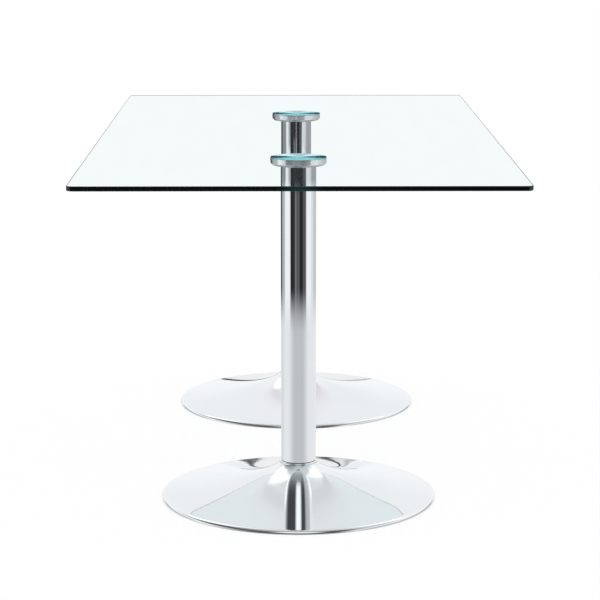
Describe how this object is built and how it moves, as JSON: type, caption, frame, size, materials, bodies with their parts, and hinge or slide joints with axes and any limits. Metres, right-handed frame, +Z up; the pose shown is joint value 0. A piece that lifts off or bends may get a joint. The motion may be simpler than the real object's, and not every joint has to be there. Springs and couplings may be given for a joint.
{
  "type": "dining table",
  "caption": "Rectangular dining table: a pane of clear glass bonded on polished steel columns that stand on round trumpet-shaped bases, in line under its long axis.",
  "frame": {"origin": "On the floor under the middle of the table; the lowest faces are the undersides of the two rubber floor rings.", "axes": "+X across the table's width, +Y along its length from the front pedestal to the rear one, +Z up."},
  "size_m": [0.905, 1.8, 0.75],
  "materials": {
    "clear_glass": "clear float glass, polished faces and edges, dark green at the edge",
    "clear_bond": "cured clear adhesive film",
    "turned_steel": "lathe-turned face with a satin side",
    "chrome_tube": "mirror-polished tube",
    "chrome_base": "mirror-polished spun shell",
    "mild_steel": "turned mild steel, lightly oiled",
    "zinc_hardware": "bright zinc plate",
    "zinc_rod": "bright zinc plate over a rolled thread",
    "black_rubber": "matt moulded rubber"
  },
  "bodies": {
    "root": {"glass_top": "clear_glass", "front_bond_film": "clear_bond", "front_mounting_disc": "turned_steel", "front_upper_plug": "mild_steel", "front_column": "chrome_tube", "front_lower_plug": "mild_steel", "front_gasket": "black_rubber", "front_trumpet_base": "chrome_base", "front_clamp_plate": "mild_steel", "front_flat_washer": "zinc_hardware", "front_spring_washer": "zinc_hardware", "front_nut": "zinc_hardware", "front_tie_rod": "zinc_rod", "front_floor_ring": "black_rubber", "rear_bond_film": "clear_bond", "rear_mounting_disc": "turned_steel", "rear_upper_plug": "mild_steel", "rear_column": "chrome_tube", "rear_lower_plug": "mild_steel", "rear_gasket": "black_rubber", "rear_trumpet_base": "chrome_base", "rear_clamp_plate": "mild_steel", "rear_flat_washer": "zinc_hardware", "rear_spring_washer": "zinc_hardware", "rear_nut": "zinc_hardware", "rear_tie_rod": "zinc_rod", "rear_floor_ring": "black_rubber"}
  },
  "joints": []
}
